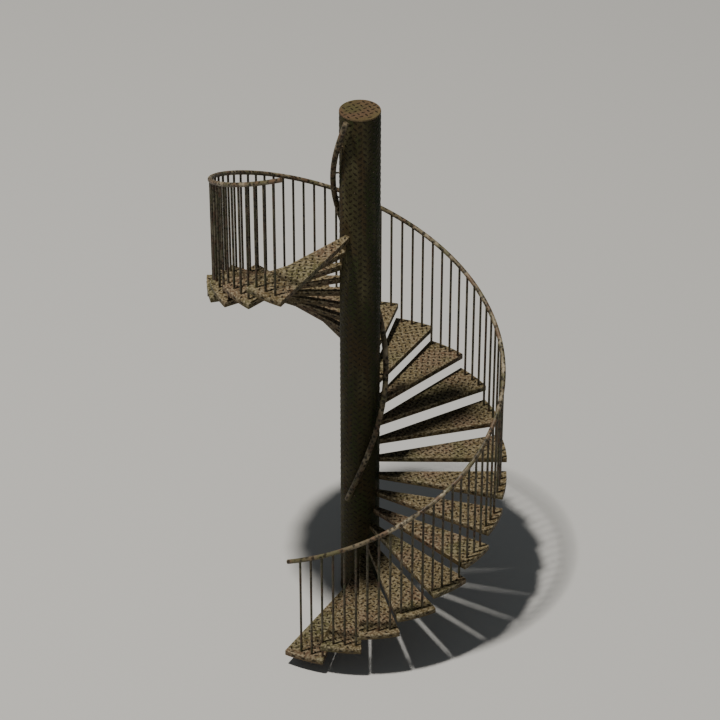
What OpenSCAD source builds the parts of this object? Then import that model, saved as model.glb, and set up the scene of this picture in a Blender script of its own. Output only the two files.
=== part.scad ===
// Steel spiral stair: one full turn of open wedge treads around a central column,
// with a barred guard and handrail outside and a second handrail around the column.
// Frame: origin at the centre of the base on the floor, +Z up, the foot of the stair
// at the front (-Y), climbing counter-clockwise seen from above. Azimuth 0 is +X.

/* [Flight] */
// Number of treads
tread_count = 24; // [12:1:30]
// Height from one tread to the next, and from the floor to the first
riser = 172; // [140:1:210]
// Plan angle from one tread to the next
tread_step = 15; // [12:0.5:18]
// Azimuth where the first tread starts
first_az = -120; // [-180:5:180]

/* [Treads] */
// Radius at the outer edge of the treads
stair_r = 1400; // [1100:10:1700]
// Depth of the folded edges of a tread, top plate included
tread_depth = 54; // [40:1:80]
// Plate thickness of a tread
tread_plate = 6; // [4:0.5:10]
// Angle by which each side of a tread runs past its step
tread_lap = 0.5; // [0.2:0.1:1.5]

/* [Column] */
// Outer radius of the column
column_r = 185; // [140:5:230]
// Wall thickness of the column tube
column_wall = 10; // [6:1:16]
// Height of the column's top over the upper ends of the handrails
column_over = 15; // [0:1:300]
// Thickness of the disc that closes the column's top
cap_t = 10; // [6:1:20]

/* [Base] */
// Width of the base plate's rim, outside the column
base_rim = 5; // [2:1:15]
// Thickness of the base plate
base_t = 20; // [12:1:30]
// Number of anchor holes, inside the column
anchor_count = 8; // [4:1:12]
// Distance from the column's bore in to an anchor hole's centre
anchor_inset = 40; // [20:1:50]
// Radius of an anchor hole
anchor_hole_r = 9; // [6:0.5:12]

/* [Guard] */
// Distance from the treads' outer edge in to the handrail's centre line
guard_inset = 63; // [30:1:150]
// Radius of the handrail tube
rail_tube_r = 21; // [16:0.5:30]
// Height of the handrail's centre over the front edges of the treads
rail_h = 1030; // [900:5:1150]
// Number of balusters
baluster_count = 78; // [40:1:100]
// Radius of a baluster bar
baluster_r = 11; // [7:0.5:16]
// Angle from the start of the handrail to the first baluster
baluster_first = 5.6; // [1:0.1:7]
// Angle from the last baluster to the end of the handrail
baluster_last = 3.5; // [1:0.1:7]

/* [Column handrail] */
// Distance from the column's face to the column handrail's centre line
inner_rail_gap = 56; // [45:1:120]
// Radius of the column handrail's tube
inner_tube_r = 26; // [14:0.5:30]
// Balusters from one bracket of the column handrail to the next
bracket_every = 6; // [3:1:12]
// Radius of a bracket bar
bracket_r = 8; // [5:0.5:12]

/* [Fits] */
// Gap at a welded seat on a curved face
seat_gap = 0.4; // [0.2:0.1:0.8]
// Clearance around a baluster that passes through the nosing of the tread above
notch_gap = 2; // [1:0.5:5]

/* [Hidden] */
BALUSTER_GROUPS = 6;
RAIL_SECTIONS = 6;
INNER_SECTIONS = 4;
TUBE_SIDES = 16;
RINGS_PER_SECTION = 20;
INNER_RINGS_PER_SECTION = 16;
STEEL = [0.55, 0.50, 0.38];
DARK_STEEL = [0.38, 0.36, 0.24];
BRIGHT_STEEL = [0.62, 0.57, 0.44];

turn = tread_count * tread_step;
tread_sweep = tread_step + 2 * tread_lap;
landing_z = tread_count * riser;
base_r = column_r + base_rim;
anchor_circle_r = column_r - column_wall - anchor_inset;
rail_r = stair_r - guard_inset;
inner_rail_r = column_r + inner_rail_gap;
column_top = landing_z + riser + rail_h + column_over;
baluster_pitch = (turn - baluster_first - baluster_last) / (baluster_count - 1);
bracket_count = 1 + floor((baluster_count - 1) / bracket_every);
// plan angles that half a baluster, and half its notch, take up at the guard
baluster_half = asin(baluster_r / rail_r);
notch_half = asin((baluster_r + notch_gap) / rail_r);

function two_digits(i) = str(i < 10 ? "0" : "", i);
function tread_name(i) = str("tread_", two_digits(i));
function baluster_name(g) = str("balusters_", g);
function rail_name(s) = str("guard_rail_", s);
function inner_name(s) = str("column_rail_", s);

// azimuth where tread i starts, before its lap
function tread_az(i) = first_az + (i - 1) * tread_step;
function tread_top(i) = i * riser;
// both handrails keep one height over the line of the tread edges
function rail_z(az) = riser + rail_h + riser * (az - first_az) / tread_step;
function rail_pitch(r) = atan(riser / (r * tread_step * PI / 180));
function rail_point(r, az) = [r * cos(az), r * sin(az), rail_z(az)];
function baluster_az(k) = first_az + baluster_first + k * baluster_pitch;
// a baluster stands on the highest tread that carries its whole foot
function tread_under(az) =
    let (i = 1 + floor((az - baluster_half + tread_lap - first_az) / tread_step))
    min(max(i, 1), tread_count);
function bracket_az(k) = baluster_az(k * bracket_every);

// points of one ring of a handrail tube, square to its centre line
function tube_ring(r, tube_r, az) =
    let (p = rail_pitch(r))
    [for (j = [0 : TUBE_SIDES - 1])
        let (a = 360 * (j + 0.5) / TUBE_SIDES)
        rail_point(r, az)
            + tube_r * cos(a) * [cos(az), sin(az), 0]
            + tube_r * sin(a) * [sin(az) * sin(p), -cos(az) * sin(p), cos(p)]
    ];

// flat wedge of a ring between two radii
module sector(r_in, r_out, height, az, sweep) {
    rotate_extrude(angle = sweep, start = az, $fn = 180)
        translate([r_in, 0])
        square([r_out - r_in, height]);
}

// prism that keeps one plate thickness inside both straight edges of a tread
module inset_wedge(az, height) {
    half = tread_sweep / 2;
    reach = 2 * stair_r;
    rotate([0, 0, az + half])
        translate([tread_plate / sin(half), 0, 0])
        linear_extrude(height = height)
        polygon([[0, 0], [reach, -reach * tan(half)], [reach, reach * tan(half)]]);
}

// stretch of a helical handrail tube with flat ends
module rail_tube(r, tube_r, az_from, az_to, rings) {
    points = [
        for (i = [0 : rings])
            each tube_ring(r, tube_r, az_from + (az_to - az_from) * i / rings)
    ];
    sides = [
        for (i = [0 : rings - 1], j = [0 : TUBE_SIDES - 1])
            let (
                a = i * TUBE_SIDES + j,
                b = i * TUBE_SIDES + (j + 1) % TUBE_SIDES
            )
            each [[a, b, b + TUBE_SIDES], [a, b + TUBE_SIDES, a + TUBE_SIDES]]
    ];
    first_end = [for (j = [TUBE_SIDES - 1 : -1 : 0]) j];
    last_end = [for (j = [0 : TUBE_SIDES - 1]) rings * TUBE_SIDES + j];
    polyhedron(points = points, faces = concat([first_end, last_end], sides));
}

// round cut that a bar's end takes to sit on the handrail at an azimuth
module rail_cope(r, tube_r, az) {
    translate(rail_point(r, az))
        rotate([0, 0, az])
        rotate([rail_pitch(r) - 90, 0, 0])
        cylinder(h = 8 * tube_r, r = tube_r + seat_gap, center = true, $fn = 64);
}

module base_plate() {
    color(DARK_STEEL)
        difference() {
            cylinder(h = base_t, r = base_r, $fn = 128);
            for (k = [0 : anchor_count - 1])
                rotate([0, 0, 360 * (k + 0.5) / anchor_count])
                    translate([anchor_circle_r, 0, -1])
                    cylinder(h = base_t + 2, r = anchor_hole_r, $fn = 32);
        }
}

module column() {
    tube_h = column_top - cap_t - base_t;
    color(DARK_STEEL)
        translate([0, 0, base_t])
        difference() {
            cylinder(h = tube_h, r = column_r, $fn = 128);
            translate([0, 0, -1])
                cylinder(h = tube_h + 2, r = column_r - column_wall, $fn = 128);
        }
}

module column_cap() {
    color(BRIGHT_STEEL)
        translate([0, 0, column_top - cap_t])
        cylinder(h = cap_t, r = column_r, $fn = 128);
}

// holes in a tread's nosing for the balusters that stand on the tread below
module nosing_notches(i) {
    edge = tread_az(i) - tread_lap;
    for (k = [0 : baluster_count - 1]) {
        az = baluster_az(k);
        if (tread_under(az) == i - 1 && az + notch_half > edge)
            translate([rail_r * cos(az), rail_r * sin(az), tread_top(i) - tread_depth - 1])
                cylinder(h = tread_depth + 2, r = baluster_r + notch_gap, $fn = 32);
    }
}

// folded plate: a top with its four edges turned down
module tread(i) {
    az = tread_az(i) - tread_lap;
    r_in = column_r + seat_gap;
    hollow = tread_depth - tread_plate;
    color(STEEL)
        difference() {
            translate([0, 0, tread_top(i) - tread_depth])
                difference() {
                    sector(r_in, stair_r, tread_depth, az, tread_sweep);
                    translate([0, 0, -1])
                        intersection() {
                            sector(r_in + tread_plate, stair_r - tread_plate, hollow + 1,
                                az - tread_sweep, 3 * tread_sweep);
                            inset_wedge(az, hollow + 1);
                        }
                }
            nosing_notches(i);
        }
}

module baluster(k) {
    az = baluster_az(k);
    foot = tread_top(tread_under(az));
    difference() {
        translate([rail_r * cos(az), rail_r * sin(az), foot])
            cylinder(h = rail_z(az) - foot, r = baluster_r, $fn = 32);
        rail_cope(rail_r, rail_tube_r, az);
    }
}

module baluster_group(g) {
    from = round(baluster_count * (g - 1) / BALUSTER_GROUPS);
    to = round(baluster_count * g / BALUSTER_GROUPS) - 1;
    color(STEEL)
        for (k = [from : to])
            baluster(k);
}

module guard_rail(s) {
    span = turn / RAIL_SECTIONS;
    az = first_az + (s - 1) * span;
    color(BRIGHT_STEEL)
        rail_tube(rail_r, rail_tube_r, az, az + span, RINGS_PER_SECTION);
}

module column_rail(s) {
    span = turn / INNER_SECTIONS;
    az = first_az + (s - 1) * span;
    color(BRIGHT_STEEL)
        rail_tube(inner_rail_r, inner_tube_r, az, az + span, INNER_RINGS_PER_SECTION);
}

module bracket(k) {
    az = bracket_az(k);
    seat = column_r + seat_gap;
    difference() {
        rotate([0, 0, az])
            translate([seat, 0, rail_z(az)])
            rotate([0, 90, 0])
            cylinder(h = inner_rail_r - seat, r = bracket_r, $fn = 32);
        rail_cope(inner_rail_r, inner_tube_r, az);
    }
}

module column_rail_brackets() {
    color(STEEL)
        for (k = [0 : bracket_count - 1])
            bracket(k);
}

base_plate();
column();
column_cap();
for (i = [1 : tread_count])
    tread(i);
for (g = [1 : BALUSTER_GROUPS])
    baluster_group(g);
for (s = [1 : RAIL_SECTIONS])
    guard_rail(s);
for (s = [1 : INNER_SECTIONS])
    column_rail(s);
column_rail_brackets();
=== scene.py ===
import math

import bpy
import numpy as np
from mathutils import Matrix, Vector


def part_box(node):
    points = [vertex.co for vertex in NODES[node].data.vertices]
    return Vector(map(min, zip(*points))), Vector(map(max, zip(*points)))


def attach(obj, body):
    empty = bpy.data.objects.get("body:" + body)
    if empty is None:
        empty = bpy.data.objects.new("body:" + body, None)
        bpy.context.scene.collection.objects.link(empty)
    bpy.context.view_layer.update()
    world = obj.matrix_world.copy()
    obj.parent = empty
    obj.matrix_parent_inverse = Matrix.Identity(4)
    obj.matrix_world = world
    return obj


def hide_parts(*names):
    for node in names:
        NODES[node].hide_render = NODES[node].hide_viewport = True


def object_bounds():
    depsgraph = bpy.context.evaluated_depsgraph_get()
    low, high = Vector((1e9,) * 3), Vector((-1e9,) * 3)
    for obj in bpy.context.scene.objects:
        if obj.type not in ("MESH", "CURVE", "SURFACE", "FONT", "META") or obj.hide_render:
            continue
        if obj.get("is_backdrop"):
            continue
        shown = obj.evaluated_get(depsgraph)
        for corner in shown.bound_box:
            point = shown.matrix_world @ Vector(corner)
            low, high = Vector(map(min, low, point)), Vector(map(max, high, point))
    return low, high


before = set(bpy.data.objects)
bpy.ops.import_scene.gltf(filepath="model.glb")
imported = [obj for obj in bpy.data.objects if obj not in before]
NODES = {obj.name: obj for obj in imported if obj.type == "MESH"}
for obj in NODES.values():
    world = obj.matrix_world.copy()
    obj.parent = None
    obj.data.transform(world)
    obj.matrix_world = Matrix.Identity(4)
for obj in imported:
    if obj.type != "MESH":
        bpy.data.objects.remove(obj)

CAD_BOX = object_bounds()

# ---------------------------------------------------------------- sizes, in metres and radians

# Camera, in terms of the stair's outer radius
CAMERA_HEIGHT = 1.908          # of the point that it aims at
CAMERA_DISTANCE = 19.98
CAMERA_ELEVATION = math.radians(34.74)
CAMERA_LENS = 150.5            # millimetres, on a 36 mm sensor

# Sides of the tubes in the CAD model
CAD_TUBE_SIDES = 16

# Least gap or overlap that keeps two faces from coinciding
HAIR = 0.0002

# Folded plate
FOLD_R = 0.0055                # outer radius of a fold
CORNER_R = 0.0075              # plan radius of a tread's corners
LIP = 0.0010                   # chamfer of a cut edge, and width of the half-worn strip by a fold

# Raised bars of the chequer pattern
BAR_LENGTH = 0.045
BAR_WIDTH = 0.018
BAR_HEIGHT = 0.0022
BAR_CREST = 0.58               # share of the outline that the crest keeps
BAR_MARGIN = 0.6 * BAR_LENGTH  # from a bar's middle to anything beside it
BAR_TIP = 0.55                 # share of its length from a bar's middle to where its tips are tested
BAR_LEVEL = 0.98               # least cosine between the plate's normals at the middle and at a tip
TREAD_PITCH = 0.052            # between neighbours on a tread
TREAD_PATTERN_TURN = math.radians(33)
COLUMN_ROWS_AROUND = 26
COLUMN_PITCH_UP = 0.065
COLUMN_BAR_SLOPE = math.radians(36)

# Weld beads, and the length of each of their ripples
WELD_R = 0.003
WELD_STEP = 0.0045

# Sides of the round pieces
RAIL_SIDES = 32
BAR_SIDES = 20
WELD_SIDES = 6

# Edges sharper than these stay sharp in the shading of plates and of grown pieces
PLATE_EDGE = math.radians(40)
GROWN_EDGE = math.radians(35)

# Direction in which the light travels, and its lamp
LIGHT_AZIMUTH = math.radians(30.5)
LIGHT_FALL = math.radians(74)
LAMP_DISTANCE = 45.0
LAMP_SIZE = 3.4
LAMP_POWER = 26000.0           # watts
SURROUND_STRENGTH = 0.13

FLOOR_HALF = 60.0
FLOOR_DROP = 0.0005            # below the foot of the stair, so that no faces coincide


# ---------------------------------------------------------------- measures of the CAD model


def numbered(prefix):
    """Names of the CAD nodes that are a prefix and a number, in order."""
    names = [name for name in NODES if name.startswith(prefix) and name[len(prefix):].isdigit()]
    return sorted(names, key=lambda name: int(name[len(prefix):]))


def cad_points(name):
    """Vertices of a CAD node, a row each."""
    mesh = NODES[name].data
    flat = np.empty(3 * len(mesh.vertices))
    mesh.vertices.foreach_get("co", flat)
    return flat.reshape(-1, 3)


def radii(points):
    return np.hypot(points[:, 0], points[:, 1])


def azimuths_near(points, middle):
    """Azimuths of points, each within half a turn of a middle one."""
    found = np.arctan2(points[:, 1], points[:, 0])
    return middle + np.mod(found - middle + math.pi, 2 * math.pi) - math.pi


def at(radius, azimuth, height):
    """Point at a radius, an azimuth and a height."""
    return Vector((radius * math.cos(azimuth), radius * math.sin(azimuth), height))


def outward(azimuth):
    return Vector((math.cos(azimuth), math.sin(azimuth), 0.0))


def around(azimuth):
    return Vector((-math.sin(azimuth), math.cos(azimuth), 0.0))


UP = Vector((0.0, 0.0, 1.0))


class Tread:
    """Plan and heights of one tread."""

    def __init__(self, name, number):
        points = cad_points(name)
        radius = radii(points)
        rim = points[radius > 0.9 * radius.max()].mean(axis=0)
        azimuth = azimuths_near(points, math.atan2(rim[1], rim[0]))
        levels = np.unique(np.round(points[:, 2], 5))
        self.name = name
        self.number = number
        self.r_in, self.r_out = float(radius.min()), float(radius.max())
        self.az_from, self.az_to = float(azimuth.min()), float(azimuth.max())
        self.middle = (self.az_from + self.az_to) / 2
        self.top, self.bottom = float(levels[-1]), float(levels[0])
        self.plate = float(levels[-1] - levels[-2])
        self.points = points


TREADS = [Tread(name, number + 1) for number, name in enumerate(numbered("tread_"))]
RISER = TREADS[1].top - TREADS[0].top
SECOND_MIDDLE = azimuths_near(np.array([at(1, TREADS[1].middle, 0)]), TREADS[0].middle)
STEP = float(SECOND_MIDDLE[0]) - TREADS[0].middle
LAP = (TREADS[0].az_to - TREADS[0].az_from - STEP) / 2
START = TREADS[0].az_from + LAP
TURN = STEP * len(TREADS)
CLIMB = RISER / STEP
STAIR_R = TREADS[0].r_out
for tread in TREADS:
    # count azimuths up along the flight, past half a turn
    shift = START + STEP * (tread.number - 0.5) - tread.middle
    tread.az_from += shift
    tread.az_to += shift
    tread.middle += shift


def flight_azimuths(points):
    """Azimuths of points, counted up from the start of the flight."""
    return START + np.mod(azimuths_near(points, START) - START, 2 * math.pi)


class Handrail:
    """Centre line and thickness of a handrail, from its CAD sections."""

    def __init__(self, sections):
        points = np.vstack([cad_points(name) for name in sections])
        radius = radii(points)
        line = points[:, 2] - CLIMB * (flight_azimuths(points) - START)
        self.sections = sections
        self.radius = float(radius.max() + radius.min()) / 2
        self.tube_r = float(radius.max() - radius.min()) / 2 / math.cos(math.pi / CAD_TUBE_SIDES)
        # middle of the section's heights, leaving out the few points of the ends
        self.start_z = float(np.percentile(line, [4, 96]).mean())
        self.pitch = math.atan(CLIMB / self.radius)

    def height(self, azimuth):
        return self.start_z + CLIMB * (azimuth - START)

    def point(self, azimuth):
        return at(self.radius, azimuth, self.height(azimuth))


def split_bars(names):
    """Points of each bar in some CAD nodes, in the order of their azimuths."""
    points = np.vstack([cad_points(name) for name in names])
    azimuth = flight_azimuths(points)
    order = np.argsort(azimuth)
    gaps = np.nonzero(np.diff(azimuth[order]) > math.radians(1.5))[0] + 1
    return np.split(points[order], gaps)


class Bar:
    """Place and thickness of one baluster or bracket."""

    def __init__(self, points):
        azimuth = flight_azimuths(points)
        radius = radii(points)
        self.azimuth = float((azimuth.min() + azimuth.max()) / 2)
        self.foot = float(points[:, 2].min())
        self.middle_z = float((points[:, 2].min() + points[:, 2].max()) / 2)
        self.r_in, self.r_out = float(radius.min()), float(radius.max())


GUARD = Handrail(numbered("guard_rail_"))
COLUMN_RAIL = Handrail(numbered("column_rail_"))
BALUSTERS = [Bar(points) for points in split_bars(numbered("balusters_"))]
BRACKETS = [Bar(points) for points in split_bars(["column_rail_brackets"])]
BALUSTER_R = (BALUSTERS[0].r_out - BALUSTERS[0].r_in) / 2
BRACKET_R = float(np.ptp(split_bars(["column_rail_brackets"])[0][:, 2])) / 2
COLUMN_LOW, COLUMN_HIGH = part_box("column")
COLUMN_R = float(radii(cad_points("column")).max())
COLUMN_BORE = float(radii(cad_points("column")).min())
CAP_LOW, CAP_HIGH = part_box("column_cap")


# ---------------------------------------------------------------- node trees

class Wire:
    """Output of a node, which takes part in Python arithmetic by adding Math nodes."""

    def __init__(self, graph, socket):
        self.graph = graph
        self.socket = socket

    def other(self, name):
        """Another output of the same node."""
        return Wire(self.graph, self.socket.node.outputs[name])

    def math(self, operation, *values):
        sockets = dict(enumerate(values))
        return self.graph.add("ShaderNodeMath", {"operation": operation}, sockets)

    def __add__(self, value):
        return self.math("ADD", self, value)

    def __radd__(self, value):
        return self.math("ADD", value, self)

    def __sub__(self, value):
        return self.math("SUBTRACT", self, value)

    def __rsub__(self, value):
        return self.math("SUBTRACT", value, self)

    def __mul__(self, value):
        return self.math("MULTIPLY", self, value)

    def __rmul__(self, value):
        return self.math("MULTIPLY", value, self)

    def __gt__(self, value):
        return self.math("GREATER_THAN", self, value)


class Graph:
    """One node tree under construction."""

    def __init__(self, tree):
        self.tree = tree
        tree.nodes.clear()

    def add(self, kind, settings=None, sockets=None, out=0):
        """Adds a node, makes its settings, fills its sockets and returns one of its outputs."""
        node = self.tree.nodes.new(kind)
        for name, value in (settings or {}).items():
            setattr(node, name, value)
        for key, value in (sockets or {}).items():
            if isinstance(value, Wire):
                self.tree.links.new(value.socket, node.inputs[key])
            else:
                node.inputs[key].default_value = value
        return Wire(self, node.outputs[out]) if node.outputs else node

    def vector(self, operation, *values, out=0, **named):
        """Vector Math node."""
        sockets = {**dict(enumerate(values)), **named}
        return self.add("ShaderNodeVectorMath", {"operation": operation}, sockets, out)


# ---------------------------------------------------------------- patterns of the materials

def rgb(red, green, blue):
    return (red, green, blue, 1.0)


def noise(graph, place, size, detail=2.0, roughness=0.5):
    """Soft cloud pattern from 0 to 1, with clouds of a size."""
    sockets = {"Vector": place, "Scale": 1.0 / size, "Detail": detail, "Roughness": roughness}
    return graph.add("ShaderNodeTexNoise", {"noise_dimensions": "3D"}, sockets, "Fac")


def between(graph, value, low, high, to_low=0.0, to_high=1.0):
    """Smooth step of a value from one level to another."""
    settings = {"interpolation_type": "SMOOTHSTEP"}
    sockets = {"Value": value, "From Min": low, "From Max": high, "To Min": to_low, "To Max": to_high}
    return graph.add("ShaderNodeMapRange", settings, sockets, "Result")


def moved(graph, place, offset):
    """Coordinates moved aside, so that two patterns don't coincide."""
    return graph.vector("ADD", place, offset)


# places of the colour sockets among the many of a Mix node
MIX_FACTOR, MIX_FIRST, MIX_SECOND, MIX_RESULT = 0, 6, 7, 2


def mixed(graph, first, second, factor):
    """Mix of two colours."""
    sockets = {MIX_FACTOR: factor, MIX_FIRST: first, MIX_SECOND: second}
    return graph.add("ShaderNodeMix", {"data_type": "RGBA", "blend_type": "MIX"}, sockets, MIX_RESULT)


def stains(graph, place, size, reach):
    """Small marks with ragged edges, scattered in space: 1 inside a mark."""
    settings = {"voronoi_dimensions": "3D", "feature": "F1"}
    sockets = {"Vector": place, "Scale": 1.0 / size, "Randomness": 1.0}
    distance = graph.add("ShaderNodeTexVoronoi", settings, sockets, "Distance")
    ragged = distance + (noise(graph, place, 0.3 * size, 4.0, 0.7) - 0.5) * 0.9
    return between(graph, ragged, 0.75 * reach, 1.45 * reach, 1.0, 0.0)


def object_place(graph):
    return graph.add("ShaderNodeTexCoord", out="Object")


def attribute(graph, name):
    return graph.add("ShaderNodeAttribute", {"attribute_name": name}, out="Fac")


def surface(graph, colour, roughness, height=None, bump=0.3, depth=0.001, **fixed):
    """Closes a material: what varies goes to the shader, and what doesn't is set on it."""
    sockets = {"Base Color": colour, "Roughness": roughness}
    sockets.update({name.replace("_", " "): value for name, value in fixed.items()})
    if height is not None:
        bumps = {"Strength": bump, "Distance": depth, "Height": height}
        sockets["Normal"] = graph.add("ShaderNodeBump", None, bumps)
    shader = graph.add("ShaderNodeBsdfPrincipled", None, sockets)
    graph.add("ShaderNodeOutputMaterial", None, {"Surface": shader})


def new_material(name):
    material = bpy.data.materials.new(name)
    material.use_nodes = True
    return material, Graph(material.node_tree)


# Paint, paint worn pale, rusty patches and mossy patches of each finish
TREAD_TONES = (
    rgb(0.084, 0.059, 0.023), rgb(0.118, 0.088, 0.040),
    rgb(0.108, 0.065, 0.036), rgb(0.073, 0.067, 0.024))
# The column's tones are darker than the treads' though it is the same steel: painted shade on its upright
# sides
COLUMN_SHADED_TONES = (
    rgb(0.048, 0.043, 0.020), rgb(0.082, 0.074, 0.038),
    rgb(0.062, 0.045, 0.022), rgb(0.040, 0.049, 0.019))
# The handrail's pale tone, far brighter than the other finishes', is partly paint worn pale and partly a
# painted highlight
HANDRAIL_TONES_AND_SHEEN = (
    rgb(0.120, 0.096, 0.056), rgb(0.320, 0.270, 0.185),
    rgb(0.125, 0.080, 0.047), rgb(0.098, 0.092, 0.043))
BALUSTER_TONES = (
    rgb(0.070, 0.060, 0.036), rgb(0.130, 0.112, 0.072),
    rgb(0.075, 0.044, 0.025), rgb(0.046, 0.050, 0.020))
BASE_TONES = (
    rgb(0.085, 0.068, 0.036), rgb(0.12, 0.10, 0.06),
    rgb(0.12, 0.055, 0.026), rgb(0.045, 0.055, 0.020))

GRIME = rgb(0.016, 0.010, 0.003)
DARK_MARK = rgb(0.008, 0.005, 0.002)
# Bar crests: partly steel worn on top, partly painted highlight and glint; the bare steel also shows in
# real chips along the treads' folds
WORN_CREST_AND_SHEEN = rgb(0.038, 0.027, 0.013)
BARE_STEEL_AND_GLINT = rgb(0.34, 0.29, 0.19)
STAIN = rgb(0.015, 0.011, 0.005)
# Painted shade: dark green on the column's +X side, away from the lamp
SHADED_SIDE_GREEN = rgb(0.007, 0.018, 0.005)
COLUMN_GRIME = rgb(0.008, 0.005, 0.002)
WELD_BROWN = rgb(0.075, 0.055, 0.030)
WELD_TAN = rgb(0.16, 0.11, 0.06)
PAPER = rgb(0.52, 0.515, 0.50)
SKY = rgb(0.80, 0.86, 0.90)
LAMP_WARMTH = (1.0, 0.965, 0.90)


def weathered(graph, place, tones, patch):
    """Painted steel that has gone rusty in some patches and mossy in others."""
    base, pale, rust, moss = tones
    clouds = noise(graph, place, 1.6 * patch, 2.0)
    colour = mixed(graph, base, pale, between(graph, clouds, 0.45, 0.68))
    rusty = between(graph, noise(graph, moved(graph, place, (7.3, 2.1, 4.9)), patch, 1.5), 0.46, 0.64)
    colour = mixed(graph, colour, rust, rusty)
    mossy = between(graph, noise(graph, moved(graph, place, (3.1, 9.4, 1.7)), patch, 1.5), 0.50, 0.66)
    return mixed(graph, colour, moss, mossy * 0.85)


def tread_paint():
    material, graph = new_material("weathered_tread_paint")
    place = object_place(graph)
    colour = weathered(graph, place, TREAD_TONES, 0.38)
    fine = noise(graph, place, 0.007, 4.0, 0.7)
    colour = mixed(graph, colour, GRIME, between(graph, fine, 0.40, 0.82) * 0.7)
    cloudy = noise(graph, moved(graph, place, (4.4, 0.7, 6.1)), 0.03, 5.0, 0.7)
    colour = mixed(graph, colour, GRIME, between(graph, cloudy, 0.45, 0.85) * 0.45)
    chips = between(graph, noise(graph, moved(graph, place, (1.9, 5.5, 8.2)), 0.02, 3.0), 0.42, 0.60)
    colour = mixed(graph, colour, BARE_STEEL_AND_GLINT, attribute(graph, "worn") * chips * 0.7)
    roughness = between(graph, fine, 0.3, 0.7, 0.5, 0.8)
    surface(graph, colour, roughness, fine, 0.35, 0.0012, Specular_IOR_Level=0.25)
    return material


def bar_steel():
    material, graph = new_material("dark_bar_steel")
    place = object_place(graph)
    spots = noise(graph, place, 0.016, 3.0, 0.6)
    # the crests are lighter: partly wear, partly a painted highlight and glint on the tops of the bars
    crest = attribute(graph, "crest")
    colour = mixed(graph, DARK_MARK, WORN_CREST_AND_SHEEN, crest * between(graph, spots, 0.35, 0.65))
    colour = mixed(graph, colour, BARE_STEEL_AND_GLINT, crest * between(graph, spots, 0.64, 0.74))
    roughness = between(graph, spots, 0.4, 0.7, 0.45, 0.7)
    surface(graph, colour, roughness, spots, 0.2, 0.0008, Specular_IOR_Level=0.2)
    return material


def column_paint():
    material, graph = new_material("weathered_and_shaded_column_paint")
    place = object_place(graph)
    streaks = graph.vector("MULTIPLY", place, (1.0, 1.0, 0.28))
    colour = weathered(graph, streaks, COLUMN_SHADED_TONES, 0.13)
    # painted shade: the column's +X side, away from the lamp, goes dark green
    side = graph.add("ShaderNodeSeparateXYZ", None, {"Vector": place}, "X")
    shaded_side = between(graph, side, 0.25 * COLUMN_R, COLUMN_R)
    ragged = between(graph, noise(graph, streaks, 0.09, 3.0), 0.3, 0.55)
    colour = mixed(graph, colour, SHADED_SIDE_GREEN, shaded_side * ragged * 0.9)
    fine = noise(graph, place, 0.012, 4.0, 0.65)
    colour = mixed(graph, colour, COLUMN_GRIME, between(graph, fine, 0.52, 0.75) * 0.6)
    roughness = between(graph, fine, 0.3, 0.7, 0.55, 0.85)
    surface(graph, colour, roughness, fine, 0.4, 0.0012, Specular_IOR_Level=0.12)
    return material


def tube_paint(name, tones, mark_share):
    """Paint of the round bars and tubes, with dark marks a few centimetres apart."""
    material, graph = new_material(name)
    place = object_place(graph)
    colour = weathered(graph, place, tones, 0.11)
    marks = stains(graph, place, 0.038, mark_share)
    colour = mixed(graph, colour, STAIN, marks * 0.9)
    fine = noise(graph, place, 0.010, 5.0, 0.75)
    colour = mixed(graph, colour, GRIME, between(graph, fine, 0.48, 0.75) * 0.5)
    roughness = between(graph, fine, 0.3, 0.7, 0.42, 0.7)
    surface(graph, colour, roughness, fine - marks * 0.6, 0.3, 0.0010, Specular_IOR_Level=0.3)
    return material


def weld_metal():
    material, graph = new_material("weld_metal")
    place = object_place(graph)
    clouds = noise(graph, place, 0.02, 3.0)
    colour = mixed(graph, WELD_BROWN, WELD_TAN, between(graph, clouds, 0.4, 0.65))
    roughness = between(graph, clouds, 0.35, 0.7, 0.4, 0.7)
    surface(graph, colour, roughness, clouds, 0.25, 0.0008, Metallic=0.35)
    return material


def base_steel():
    material, graph = new_material("base_steel")
    place = object_place(graph)
    colour = weathered(graph, place, BASE_TONES, 0.12)
    fine = noise(graph, place, 0.010, 4.0, 0.65)
    colour = mixed(graph, colour, GRIME, between(graph, fine, 0.5, 0.75) * 0.6)
    surface(graph, colour, between(graph, fine, 0.3, 0.7, 0.5, 0.85), fine, 0.4, 0.0012)
    return material


def floor_paper():
    material, graph = new_material("pale_floor")
    surface(graph, PAPER, 0.9)
    return material


# ---------------------------------------------------------------- geometry trees

def new_tree(name, inputs):
    """Geometry tree with named inputs, and the wires that come from them."""
    tree = bpy.data.node_groups.new(name, "GeometryNodeTree")
    tree.is_modifier = True
    tree.interface.new_socket("Geometry", in_out="INPUT", socket_type="NodeSocketGeometry")
    for label, kind, value in inputs:
        socket = tree.interface.new_socket(label, in_out="INPUT", socket_type="NodeSocket" + kind)
        if value is not None:
            socket.default_value = value
    tree.interface.new_socket("Geometry", in_out="OUTPUT", socket_type="NodeSocketGeometry")
    graph = Graph(tree)
    given = graph.add("NodeGroupInput")
    return tree, graph, given


def stored(graph, name, kind="FLOAT"):
    """Named attribute of the points."""
    return graph.add("GeometryNodeInputNamedAttribute", {"data_type": kind}, {"Name": name})


def other_piece(graph, given):
    """Mesh of an object that the tree is given."""
    settings = {"transform_space": "ORIGINAL"}
    return graph.add("GeometryNodeObjectInfo", settings, {"Object": given}, "Geometry")


def close_tree(graph, geometry, material):
    """Realizes what was made, gives it its material and ends the tree."""
    real = graph.add("GeometryNodeRealizeInstances", None, {"Geometry": geometry})
    done = graph.add("GeometryNodeSetMaterial", None, {"Geometry": real, "Material": material})
    graph.add("NodeGroupOutput", None, {"Geometry": done})


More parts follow.
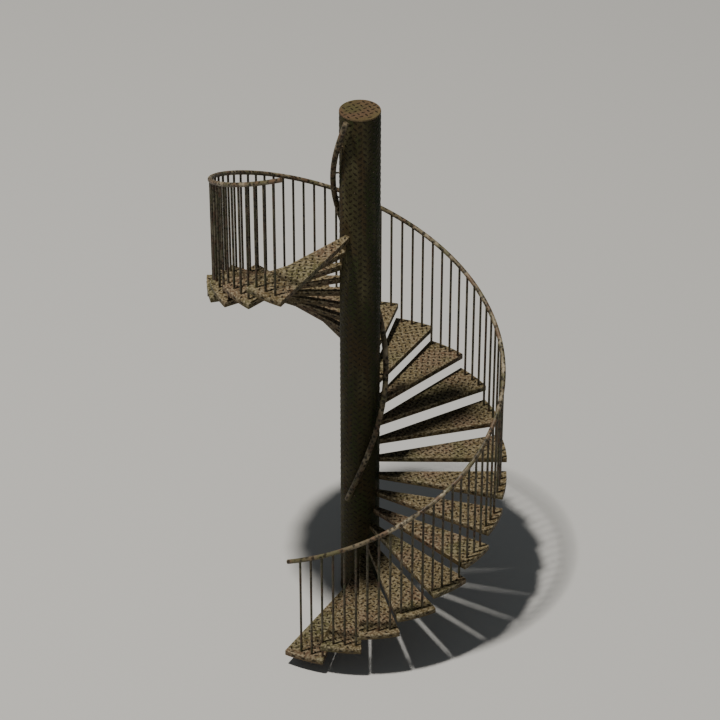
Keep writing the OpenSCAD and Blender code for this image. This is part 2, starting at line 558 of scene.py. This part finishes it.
def bar_shape(graph, length, width, height):
    """Closed low dome over a pointed lens outline, the shape of one raised bar."""
    settings = {"fill_type": "NGON"}
    sockets = {"Vertices": 12, "Side Segments": 2, "Radius": 1.0, "Depth": 2.0}
    drum = graph.add("GeometryNodeMeshCylinder", settings, sockets)
    place = graph.add("GeometryNodeInputPosition")
    x = graph.add("ShaderNodeSeparateXYZ", None, {"Vector": place}, "X")
    y, z = x.other("Y"), x.other("Z")
    upper = z.math("MAXIMUM", z, 0.0)
    settings = {"data_type": "FLOAT", "domain": "POINT"}
    marked = graph.add(
        "GeometryNodeStoreNamedAttribute", settings, {"Geometry": drum, "Name": "crest", "Value": upper})
    shrink = 1.0 - upper * (1 - BAR_CREST)
    across = y * y.math("ABSOLUTE", y)
    rise = z * 0.5 + 0.5
    # the lowest ring is sunk into the plate by a third of the height, so that no gap shows under the bar
    sockets = {
        "X": x * shrink * length * 0.5,
        "Y": across * shrink * width * 0.5,
        "Z": (rise - 0.25) * height * 1.333,
    }
    shaped = graph.add("ShaderNodeCombineXYZ", None, sockets)
    return graph.add("GeometryNodeSetPosition", None, {"Geometry": marked, "Position": shaped})


def raised_bars_tree():
    """Raised bars on a plate: one at each point whose middle and both tips lie on a flat stretch."""
    tree, graph, given = new_tree("raised bars", [
        ("Plate", "Object", None), ("Length", "Float", BAR_LENGTH), ("Width", "Float", BAR_WIDTH),
        ("Height", "Float", BAR_HEIGHT), ("Reach", "Float", 0.02), ("Material", "Material", None)])
    plate = other_piece(graph, given.other("Plate"))
    inward = stored(graph, "inward", "FLOAT_VECTOR")
    along = stored(graph, "along", "FLOAT_VECTOR")
    place = graph.add("GeometryNodeInputPosition")
    start = graph.vector("SUBTRACT", place, graph.vector("SCALE", inward, Scale=given.other("Reach") * 0.5))

    def cast(shift):
        offset = graph.vector("SCALE", along, Scale=given.other("Length") * shift)
        source = graph.vector("ADD", start, offset)
        sockets = {
            "Target Geometry": plate, "Source Position": source,
            "Ray Direction": inward, "Ray Length": given.other("Reach")}
        return graph.add("GeometryNodeRaycast", None, sockets, "Is Hit")

    middle = cast(0.0)
    facing = middle.other("Hit Normal")
    kept = middle
    for shift in (-BAR_TIP, BAR_TIP):
        tip = cast(shift)
        level = graph.vector("DOT_PRODUCT", facing, tip.other("Hit Normal"), out="Value")
        kept = kept * tip * (level > BAR_LEVEL)
    turned = graph.add(
        "FunctionNodeAxesToRotation", {"primary_axis": "Z", "secondary_axis": "X"},
        {"Primary Axis": facing, "Secondary Axis": along})
    seated = graph.add(
        "GeometryNodeSetPosition", None,
        {"Geometry": given, "Selection": kept, "Position": middle.other("Hit Position")})
    bar = bar_shape(graph, given.other("Length"), given.other("Width"), given.other("Height"))
    bars = graph.add(
        "GeometryNodeInstanceOnPoints", None,
        {"Points": seated, "Selection": kept, "Instance": bar, "Rotation": turned})
    close_tree(graph, bars, given.other("Material"))
    return tree


COPE_REACH = 0.1               # farthest that an end is moved to lie against another piece


def tube_tree():
    """Round tubes along paths, whose ends may be coped to lie against another piece."""
    tree, graph, given = new_tree("tubes on paths", [
        ("Radius", "Float", 0.01), ("Sides", "Int", 16), ("Against", "Object", None),
        ("Material", "Material", None)])
    paths = graph.add("GeometryNodeMeshToCurve", None, {"Mesh": given})
    ring = graph.add(
        "GeometryNodeCurvePrimitiveCircle", {"mode": "RADIUS"},
        {"Resolution": given.other("Sides"), "Radius": given.other("Radius")})
    sockets = {"Curve": paths, "Profile Curve": ring, "Scale": stored(graph, "girth"), "Fill Caps": True}
    tubes = graph.add("GeometryNodeCurveToMesh", None, sockets)
    cope = stored(graph, "cope", "FLOAT_VECTOR")
    other = other_piece(graph, given.other("Against"))
    sockets = {"Target Geometry": other, "Ray Direction": cope, "Ray Length": COPE_REACH}
    hit = graph.add("GeometryNodeRaycast", None, sockets, "Is Hit")
    wanted = graph.vector("LENGTH", cope, out="Value") > 0.5
    sockets = {"Geometry": tubes, "Selection": hit * wanted, "Position": hit.other("Hit Position")}
    coped = graph.add("GeometryNodeSetPosition", None, sockets)
    close_tree(graph, coped, given.other("Material"))
    return tree


# ---------------------------------------------------------------- pieces

def new_mesh(name, points, edges=(), faces=(), **attributes):
    """Mesh with extra values at its points."""
    mesh = bpy.data.meshes.new(name)
    mesh.from_pydata([tuple(p) for p in points], list(edges), list(faces))
    for label, values in attributes.items():
        rows = np.array(values, dtype=np.float32)
        kind = "FLOAT" if rows.ndim == 1 else "FLOAT_VECTOR"
        layer = mesh.attributes.new(label, kind, "POINT")
        layer.data.foreach_set("value" if rows.ndim == 1 else "vector", rows.ravel())
    mesh.update()
    return mesh


def new_object(name, mesh, material=None, smooth=None):
    """Object of the finished scene, with its place in its mesh."""
    piece = bpy.data.objects.new(name, mesh)
    bpy.context.scene.collection.objects.link(piece)
    if material is not None:
        mesh.materials.append(material)
    if smooth is not None:
        soften(piece, smooth)
    return piece


def soften(piece, angle):
    """Smooth shading, except at edges sharper than an angle."""
    mesh = piece.data
    mesh.shade_smooth()
    mesh.set_sharp_from_angle(angle=angle)


def grow(name, base, tree, values):
    """Runs a geometry tree on a base mesh and keeps the plain mesh that it makes."""
    piece = new_object(name, base)
    modifier = piece.modifiers.new(tree.name, "NODES")
    modifier.node_group = tree
    for item in tree.interface.items_tree:
        if item.in_out == "INPUT" and item.name in values:
            modifier[item.identifier] = values[item.name]
    bpy.context.view_layer.update()
    evaluated = piece.evaluated_get(bpy.context.evaluated_depsgraph_get())
    piece.data = bpy.data.meshes.new_from_object(evaluated)
    piece.data.name = name
    piece.modifiers.remove(modifier)
    soften(piece, GROWN_EDGE)
    return piece


def settle(piece, slot, *nodes):
    """Says what a finished piece rides on and stands for. The slot, the finish it would take, is not used.
    """
    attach(piece, "root")
    if nodes:
        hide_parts(*nodes)
    return piece


def lathe(name, profile, segments, solid=False):
    """Mesh of (radius, height) points turned about the axis: a ring, or a solid with flat ends."""
    points = [at(r, 2 * math.pi * k / segments, z) for k in range(segments) for r, z in profile]
    count = len(profile)
    faces = []
    for k in range(segments):
        here, there = k * count, (k + 1) % segments * count
        for j in range(count - 1 if solid else count):
            after = (j + 1) % count
            faces.append((here + j, there + j, there + after, here + after))
    if solid:
        faces.append([k * count for k in reversed(range(segments))])
        faces.append([k * count + count - 1 for k in range(segments)])
    return new_mesh(name, points, (), faces)


# ---------------------------------------------------------------- treads

ARC_STEPS = 24
CORNER_STEPS = 4
FOLD_STEPS = 4
NOTCH_SIDES = 40
EDGE_DROP = BAR_HEIGHT + HAIR  # room for the bars of the outer edge


def tread_outline(tread, inset):
    """Outer and inner halves of a tread's plan outline, at a distance inside its edges."""
    r_out, r_in = tread.r_out - EDGE_DROP - inset, tread.r_in + inset
    corner = CORNER_R - inset
    halves = []
    for radius, sign in ((r_out, 1), (r_in, -1)):
        middle_r = radius - sign * corner
        lean = math.asin(CORNER_R / middle_r)
        first, last = tread.az_from + lean, tread.az_to - lean
        half = []
        for k in range(CORNER_STEPS):
            turn = math.pi / 2 * k / CORNER_STEPS
            centre = at(middle_r, first, 0)
            arm = sign * math.sin(turn) * outward(first) - math.cos(turn) * around(first)
            half.append(centre + corner * arm)
        for k in range(ARC_STEPS + 1):
            half.append(at(radius, first + (last - first) * k / ARC_STEPS, 0))
        for k in range(CORNER_STEPS):
            turn = math.pi / 2 * (k + 1) / CORNER_STEPS
            centre = at(middle_r, last, 0)
            arm = sign * math.cos(turn) * outward(last) + math.sin(turn) * around(last)
            half.append(centre + corner * arm)
        halves.append(half)
    return halves


def tread_mesh(tread):
    """Folded pan: a top plate whose four edges are turned down."""
    top, bottom, plate = tread.top, tread.bottom, tread.plate
    # insets and heights, from the underside out and up to the top, and how worn each ring is
    rings = [
        (plate, top - plate, 0), (plate, bottom + LIP, 0), (plate - LIP, bottom, 0),
        (LIP, bottom, 0), (0.0, bottom + LIP, 0)]
    for k in range(FOLD_STEPS + 1):
        bend = math.pi / 2 * k / FOLD_STEPS
        rings.append((FOLD_R * (1 - math.cos(bend)), top - FOLD_R + FOLD_R * math.sin(bend), 1))
    rings.append((FOLD_R + LIP, top, 0.6))
    points, worn = [], []
    for inset, height, wear in rings:
        outer, inner = tread_outline(tread, min(inset, CORNER_R - HAIR))
        for point in outer + inner[::-1]:
            points.append((point.x, point.y, height))
            worn.append(wear)
    half = CORNER_STEPS * 2 + ARC_STEPS + 1
    count = 2 * half
    faces = []
    for ring in range(len(rings) - 1):
        low, high = ring * count, (ring + 1) * count
        for j in range(count):
            after = (j + 1) % count
            faces.append((low + j, low + after, high + after, high + j))
    under, over = 0, (len(rings) - 1) * count
    for j in range(half - 1):
        faces.append((under + j + 1, under + j, under + count - 1 - j, under + count - 2 - j))
        faces.append((over + j, over + j + 1, over + count - 2 - j, over + count - 1 - j))
    return new_mesh(tread.name, points, (), faces, worn=worn)


def notched_by(tread):
    """Radius and azimuths of the balusters that pass through a tread's front edge."""
    found = []
    for bar in BALUSTERS:
        centre = at(GUARD.radius, bar.azimuth, 0)
        near = np.hypot(tread.points[:, 0] - centre.x, tread.points[:, 1] - centre.y)
        below = bar.foot < tread.bottom and bar.azimuth > tread.az_from - 3 * LAP
        if below and near.min() < 2 * BALUSTER_R and bar.azimuth < tread.middle:
            found.append((float(near.min()), bar.azimuth))
    return found


def cut_notches(piece, tread):
    """Cuts the clearance holes of the balusters that stand on the tread below."""
    for radius, azimuth in notched_by(tread):
        centre = at(GUARD.radius, azimuth, 0)
        depth = tread.top - tread.bottom
        count = NOTCH_SIDES
        ring = [at(radius, 2 * math.pi * k / count, 0) + centre for k in range(count)]
        low = [(p.x, p.y, tread.bottom - depth) for p in ring]
        high = [(p.x, p.y, tread.top + depth) for p in ring]
        sides = [(k, (k + 1) % count, count + (k + 1) % count, count + k) for k in range(count)]
        caps = [tuple(reversed(range(count))), tuple(range(count, 2 * count))]
        cutter = new_object("notch_cutter", new_mesh("notch_cutter", low + high, (), sides + caps))
        modifier = piece.modifiers.new("notch", "BOOLEAN")
        modifier.object = cutter
        modifier.solver = "EXACT"
        bpy.context.view_layer.update()
        evaluated = piece.evaluated_get(bpy.context.evaluated_depsgraph_get())
        piece.data = bpy.data.meshes.new_from_object(evaluated)
        piece.modifiers.remove(modifier)
        bpy.data.objects.remove(cutter)


def lattice_points(tread):
    """Places and directions of the bars on a tread's top: a square lattice whose bars alternate."""
    first = outward(tread.middle + TREAD_PATTERN_TURN)
    second = around(tread.middle + TREAD_PATTERN_TURN)
    centre = at((tread.r_in + tread.r_out) / 2, tread.middle, tread.top)
    reach = int(0.8 * (tread.r_out - tread.r_in) / TREAD_PITCH)
    for i in range(-reach, reach + 1):
        for j in range(-reach, reach + 1):
            place = centre + TREAD_PITCH * (i * first + j * second)
            radius = place.xy.length
            swing = abs(azimuths_near(np.array([place]), tread.middle)[0] - tread.middle)
            if tread.r_in < radius < tread.r_out and swing < tread.az_to - tread.middle:
                yield place, -UP, first if (i + j) % 2 else second


def edge_points(tread):
    """Places and directions of the single row of bars on each turned-down edge."""
    height = (tread.top + tread.bottom) / 2
    rows = int((tread.r_out - tread.r_in) / TREAD_PITCH)
    for azimuth, inward in ((tread.az_from, 1), (tread.az_to, -1)):
        for k in range(rows):
            place = at(tread.r_out - (k + 0.6) * TREAD_PITCH, azimuth, height)
            yield place, inward * around(azimuth), outward(azimuth) if k % 2 else UP
    columns = int(tread.r_out * (tread.az_to - tread.az_from) / TREAD_PITCH)
    for k in range(columns):
        azimuth = tread.middle + (k - (columns - 1) / 2) * TREAD_PITCH / tread.r_out
        yield at(tread.r_out, azimuth, height), -outward(azimuth), around(azimuth) if k % 2 else UP


def bars_mesh(name, rows):
    """Points for the raised-bars tree."""
    places, inwards, alongs = zip(*rows)
    return new_mesh(name, places, inward=inwards, along=alongs)


def clear_of_feet(place, inward):
    """True where a bar on a tread's top isn't under the foot of a baluster."""
    if inward.z > -0.5:
        return True
    for bar in BALUSTERS:
        foot = at(GUARD.radius, bar.azimuth, place.z)
        if abs(bar.foot - place.z) < RISER / 2 and (foot - place).length < BALUSTER_R + BAR_MARGIN:
            return False
    return True


def make_treads(paint, bar_metal, bars_tree):
    for tread in TREADS:
        label = f"{tread.number:02d}"
        plate = new_object(f"tread_plate_{label}", tread_mesh(tread), paint)
        cut_notches(plate, tread)
        soften(plate, PLATE_EDGE)
        settle(plate, "tread_plate", tread.name)
        candidates = [*lattice_points(tread), *edge_points(tread)]
        rows = [row for row in candidates if clear_of_feet(row[0], row[1])]
        values = {"Plate": plate, "Material": bar_metal}
        bars = grow(f"tread_bars_{label}", bars_mesh("bars", rows), bars_tree, values)
        settle(bars, "tread_plate")


# ---------------------------------------------------------------- column, cap and base

COLUMN_SEGMENTS = 128
CAP_CHAMFER = 0.002


def make_column(paint):
    low, high = COLUMN_LOW.z, COLUMN_HIGH.z
    profile = [(COLUMN_R, low), (COLUMN_R, high), (COLUMN_BORE, high), (COLUMN_BORE, low)]
    mesh = lathe("column_shell", profile, COLUMN_SEGMENTS)
    shell = new_object("column_shell", mesh, paint, PLATE_EDGE)
    return settle(shell, "column", "column")


def make_cap(paint, bar_metal, bars_tree):
    low, high = CAP_LOW.z, CAP_HIGH.z
    profile = [(COLUMN_R, low), (COLUMN_R, high - CAP_CHAMFER), (COLUMN_R - CAP_CHAMFER, high)]
    mesh = lathe("cap_disc", profile, COLUMN_SEGMENTS, True)
    disc = new_object("cap_disc", mesh, paint, PLATE_EDGE)
    settle(disc, "tread_plate", "column_cap")
    reach = int(COLUMN_R / TREAD_PITCH) + 1
    first, second = outward(TREAD_PATTERN_TURN), around(TREAD_PATTERN_TURN)
    rows = []
    for i in range(-reach, reach + 1):
        for j in range(-reach, reach + 1):
            place = TREAD_PITCH * (i * first + j * second) + high * UP
            if place.xy.length < COLUMN_R:
                rows.append((place, -UP, first if (i + j) % 2 else second))
    bars = grow("cap_bars", bars_mesh("bars", rows), bars_tree, {"Plate": disc, "Material": bar_metal})
    settle(bars, "tread_plate")


def near_fitting(azimuth, height):
    """True where a tread or a bracket meets the column."""
    for tread in TREADS:
        swing = abs(azimuths_near(np.array([at(1, azimuth, 0)]), tread.middle)[0] - tread.middle)
        beside = swing < (tread.az_to - tread.middle) + BAR_MARGIN / COLUMN_R
        if beside and tread.bottom - BAR_MARGIN < height < tread.top + BAR_MARGIN:
            return True
    for bar in BRACKETS:
        gap = at(COLUMN_R, azimuth, height) - at(COLUMN_R, bar.azimuth, bar.middle_z)
        if gap.length < BRACKET_R + BAR_MARGIN + 2 * WELD_R:
            return True
    return False


def make_column_bars(shell, bar_metal, bars_tree):
    """Upright rows of sloping bars: one slope in one row, the other in the next, half a pitch up."""
    low, high = COLUMN_LOW.z, COLUMN_HIGH.z
    rows = []
    for row in range(COLUMN_ROWS_AROUND):
        azimuth = 2 * math.pi * (row + 0.5) / COLUMN_ROWS_AROUND
        side = 1 if row % 2 else -1
        along = math.cos(COLUMN_BAR_SLOPE) * around(azimuth) + side * math.sin(COLUMN_BAR_SLOPE) * UP
        height = low + COLUMN_PITCH_UP * (0.45 + 0.5 * (row % 2))
        while height < high - 0.3 * COLUMN_PITCH_UP:
            if not near_fitting(azimuth, height):
                rows.append((at(COLUMN_R, azimuth, height), -outward(azimuth), along))
            height += COLUMN_PITCH_UP
    bars = grow("column_bars", bars_mesh("bars", rows), bars_tree, {"Plate": shell, "Material": bar_metal})
    settle(bars, "column")


# ---------------------------------------------------------------- handrails, balusters and brackets

RAIL_STEP = math.radians(1.25)
END_CHAMFER = 0.002


def path_mesh(name, paths):
    """Mesh of open or closed paths: each is a list of (point, girth, cope direction), and if it closes."""
    points, girths, copes, edges = [], [], [], []
    for path, closed in paths:
        first = len(points)
        for point, girth, cope in path:
            points.append(point)
            girths.append(girth)
            copes.append(cope)
        edges += [(k, k + 1) for k in range(first, len(points) - 1)]
        if closed:
            edges.append((len(points) - 1, first))
    return new_mesh(name, points, edges, girth=girths, cope=copes)


NO_COPE = Vector((0.0, 0.0, 0.0))


def make_handrail(name, rail, tubes_tree, paint):
    """Smooth helical tube over the whole turn, with flat ends broken by a chamfer."""
    count = round(TURN / RAIL_STEP)
    chamfer_az = END_CHAMFER / rail.radius * math.cos(rail.pitch)
    azimuths = [START + TURN * k / count for k in range(count + 1)]
    shrunk = 1 - END_CHAMFER / rail.tube_r
    path = [(rail.point(azimuth), 1.0, NO_COPE) for azimuth in azimuths]
    path[0] = (rail.point(START), shrunk, NO_COPE)
    path[-1] = (rail.point(START + TURN), shrunk, NO_COPE)
    path.insert(1, (rail.point(START + chamfer_az), 1.0, NO_COPE))
    path.insert(-1, (rail.point(START + TURN - chamfer_az), 1.0, NO_COPE))
    values = {"Radius": float(rail.tube_r), "Sides": RAIL_SIDES, "Material": paint}
    piece = grow(name, path_mesh("path", [(path, False)]), tubes_tree, values)
    return settle(piece, "handrail", *rail.sections)


def make_balusters(guard, tubes_tree, paint):
    """Upright bars from the treads to the underside of the handrail."""
    for number, name in enumerate(numbered("balusters_")):
        group = [Bar(points) for points in split_bars([name])]
        paths = []
        for bar in group:
            foot = at(GUARD.radius, bar.azimuth, bar.foot)
            head = GUARD.point(bar.azimuth)
            paths.append(([(foot, 1.0, NO_COPE), (head, 1.0, -UP)], False))
        values = {"Radius": float(BALUSTER_R), "Sides": BAR_SIDES, "Against": guard, "Material": paint}
        piece = grow(f"baluster_bars_{number + 1}", path_mesh("paths", paths), tubes_tree, values)
        settle(piece, "baluster", name)


def make_brackets(rail, tubes_tree, paint):
    """Short bars from the column to its handrail."""
    paths = []
    for bar in BRACKETS:
        foot = at(COLUMN_R - HAIR, bar.azimuth, bar.middle_z)
        head = at(COLUMN_RAIL.radius, bar.azimuth, bar.middle_z)
        paths.append(([(foot, 1.0, NO_COPE), (head, 1.0, -outward(bar.azimuth))], False))
    values = {"Radius": float(BRACKET_R), "Sides": BAR_SIDES, "Against": rail, "Material": paint}
    piece = grow("bracket_bars", path_mesh("paths", paths), tubes_tree, values)
    settle(piece, "baluster", "column_rail_brackets")


# ---------------------------------------------------------------- weld beads

def bead(points, closed=False):
    """Path of a weld bead, whose girth ripples from one point to the next."""
    path = [(point, 0.78 + 0.22 * (k % 2), NO_COPE) for k, point in enumerate(points)]
    if not closed:
        path[0] = (points[0], 0.4, NO_COPE)
        path[-1] = (points[-1], 0.4, NO_COPE)
    return path, closed


def ring_bead(radius, place):
    """Closed bead of about a radius, whose points come from a function of the turn around it."""
    count = 2 * round(math.pi * radius / WELD_STEP)
    return bead([place(2 * math.pi * k / count) for k in range(count)], True)


def foot_bead(bar):
    centre = at(GUARD.radius, bar.azimuth, bar.foot + 0.3 * WELD_R)
    radius = BALUSTER_R + 0.3 * WELD_R
    return ring_bead(radius, lambda turn: centre + at(radius, turn, 0))


def head_bead(bar):
    """Bead where a baluster meets the underside of the handrail."""
    def place(turn):
        across, along = BALUSTER_R * math.cos(turn), BALUSTER_R * math.sin(turn)
        drop = math.sqrt(GUARD.tube_r ** 2 - across ** 2) / math.cos(GUARD.pitch)
        rise = along * math.tan(GUARD.pitch) - drop
        return (
            GUARD.point(bar.azimuth) + across * outward(bar.azimuth)
            + along * around(bar.azimuth) + rise * UP)
    return ring_bead(BALUSTER_R, place)


def bracket_beads(bar):
    """Beads where a bracket meets the column and its handrail."""
    out, side, rail = outward(bar.azimuth), around(bar.azimuth), COLUMN_RAIL

    def on_column(turn):
        radius = BRACKET_R + 0.3 * WELD_R
        centre = at(COLUMN_R + 0.2 * WELD_R, bar.azimuth, bar.middle_z)
        return centre + radius * (math.cos(turn) * side + math.sin(turn) * UP)

    def on_rail(turn):
        across, rise = BRACKET_R * math.cos(turn), BRACKET_R * math.sin(turn)
        off_axis = rise * math.cos(rail.pitch) - across * math.sin(rail.pitch)
        depth = math.sqrt(rail.tube_r ** 2 - off_axis ** 2)
        return at(rail.radius, bar.azimuth, bar.middle_z) + across * side + rise * UP - depth * out

    return [ring_bead(BRACKET_R, on_column), ring_bead(BRACKET_R, on_rail)]


def tread_bead(tread):
    """Bead up one side of a tread's narrow end, over its top and down the other side."""
    radius = COLUMN_R + 0.6 * WELD_R
    tuck = 0.5 * CORNER_R / COLUMN_R
    first, last, top = tread.az_from + tuck, tread.az_to - tuck, tread.top + 0.2 * WELD_R
    up = round((top - tread.bottom) / WELD_STEP)
    over = round(COLUMN_R * (last - first) / WELD_STEP)
    rises = [tread.bottom + (top - tread.bottom) * k / up for k in range(up)]
    points = [at(radius, first, z) for z in rises]
    points += [at(radius, first + (last - first) * k / over, top) for k in range(over + 1)]
    return bead(points + [at(radius, last, z) for z in reversed(rises)])


def joint_beads(rail):
    """Beads around a handrail where two of its lengths meet."""
    rings = []
    for k in range(1, len(rail.sections)):
        azimuth = START + TURN * k / len(rail.sections)
        cross = math.cos(rail.pitch) * UP - math.sin(rail.pitch) * around(azimuth)

        def place(turn):
            arm = math.cos(turn) * outward(azimuth) + math.sin(turn) * cross
            return rail.point(azimuth) + (rail.tube_r - 0.4 * WELD_R) * arm
        rings.append(ring_bead(rail.tube_r, place))
    return rings


def make_welds(tubes_tree, metal):
    foot_z = COLUMN_LOW.z + 0.4 * WELD_R
    sets = {
        ("tread_welds", "tread_plate"): [tread_bead(tread) for tread in TREADS],
        ("baluster_foot_welds", "baluster"): [foot_bead(bar) for bar in BALUSTERS],
        ("baluster_head_welds", "baluster"): [head_bead(bar) for bar in BALUSTERS],
        ("bracket_welds", "baluster"): [ring for bar in BRACKETS for ring in bracket_beads(bar)],
        ("handrail_welds", "handrail"): joint_beads(GUARD) + joint_beads(COLUMN_RAIL),
        ("column_welds", "column"): [
            ring_bead(COLUMN_R, lambda turn: at(COLUMN_R + 0.4 * WELD_R, turn, foot_z)),
            ring_bead(COLUMN_R, lambda turn: at(COLUMN_R - 0.3 * WELD_R, turn, CAP_LOW.z))],
    }
    for (name, slot), paths in sets.items():
        values = {"Radius": WELD_R, "Sides": WELD_SIDES, "Material": metal}
        settle(grow(name, path_mesh("paths", paths), tubes_tree, values), slot)


# ---------------------------------------------------------------- floor, light and camera

def make_stage(paper):
    ways = [(-1, -1), (1, -1), (1, 1), (-1, 1)]
    corners = [(x * FLOOR_HALF, y * FLOOR_HALF, -FLOOR_DROP) for x, y in ways]
    floor = new_object("floor", new_mesh("floor", corners, (), [(0, 1, 2, 3)]), paper)
    floor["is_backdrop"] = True


def make_light(aim):
    """Large soft lamp high on the left, and an even pale surround."""
    travels = math.cos(LIGHT_FALL) * outward(LIGHT_AZIMUTH) - math.sin(LIGHT_FALL) * UP
    lamp = bpy.data.lights.new("key_lamp", "AREA")
    lamp.shape = "DISK"
    lamp.size = LAMP_SIZE
    lamp.energy = LAMP_POWER
    lamp.color = LAMP_WARMTH
    key = bpy.data.objects.new("key_lamp", lamp)
    key.location = aim - LAMP_DISTANCE * travels
    key.rotation_euler = travels.to_track_quat("-Z", "Y").to_euler()
    bpy.context.scene.collection.objects.link(key)
    world = bpy.data.worlds.new("surround")
    world.use_nodes = True
    graph = Graph(world.node_tree)
    glow = graph.add("ShaderNodeBackground", None, {"Color": SKY, "Strength": SURROUND_STRENGTH})
    graph.add("ShaderNodeOutputWorld", None, {"Surface": glow})
    bpy.context.scene.world = world


def make_camera(aim):
    lens = bpy.data.cameras.new("camera")
    lens.sensor_width = 36.0
    lens.lens = CAMERA_LENS
    lens.clip_end = 200.0
    camera = bpy.data.objects.new("camera", lens)
    back = Vector((0.0, -math.cos(CAMERA_ELEVATION), math.sin(CAMERA_ELEVATION)))
    camera.location = aim + CAMERA_DISTANCE * STAIR_R * back
    camera.rotation_euler = (math.pi / 2 - CAMERA_ELEVATION, 0.0, 0.0)
    bpy.context.scene.collection.objects.link(camera)
    bpy.context.scene.camera = camera


# ---------------------------------------------------------------- the scene

AIM = Vector((0.0, 0.0, CAMERA_HEIGHT * STAIR_R))
make_camera(AIM)
make_light(AIM)
make_stage(floor_paper())

BARS = raised_bars_tree()
TUBES = tube_tree()
tread_finish = tread_paint()
bar_finish = bar_steel()
rail_finish = tube_paint("weathered_handrail_paint", HANDRAIL_TONES_AND_SHEEN, 0.38)
baluster_finish = tube_paint("weathered_baluster_paint", BALUSTER_TONES, 0.32)

make_treads(tread_finish, bar_finish, BARS)
column = make_column(column_paint())
make_cap(tread_finish, bar_finish, BARS)
make_column_bars(column, bar_finish, BARS)
guard_rail = make_handrail("guard_handrail", GUARD, TUBES, rail_finish)
column_handrail = make_handrail("column_handrail", COLUMN_RAIL, TUBES, rail_finish)
make_balusters(guard_rail, TUBES, baluster_finish)
make_brackets(column_handrail, TUBES, baluster_finish)
make_welds(TUBES, weld_metal())
NODES["base_plate"].data.materials.clear()
NODES["base_plate"].data.materials.append(base_steel())

boxes = {"cad": CAD_BOX, "visual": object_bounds()}
{name: [list(corner) for corner in box] for name, box in boxes.items()}
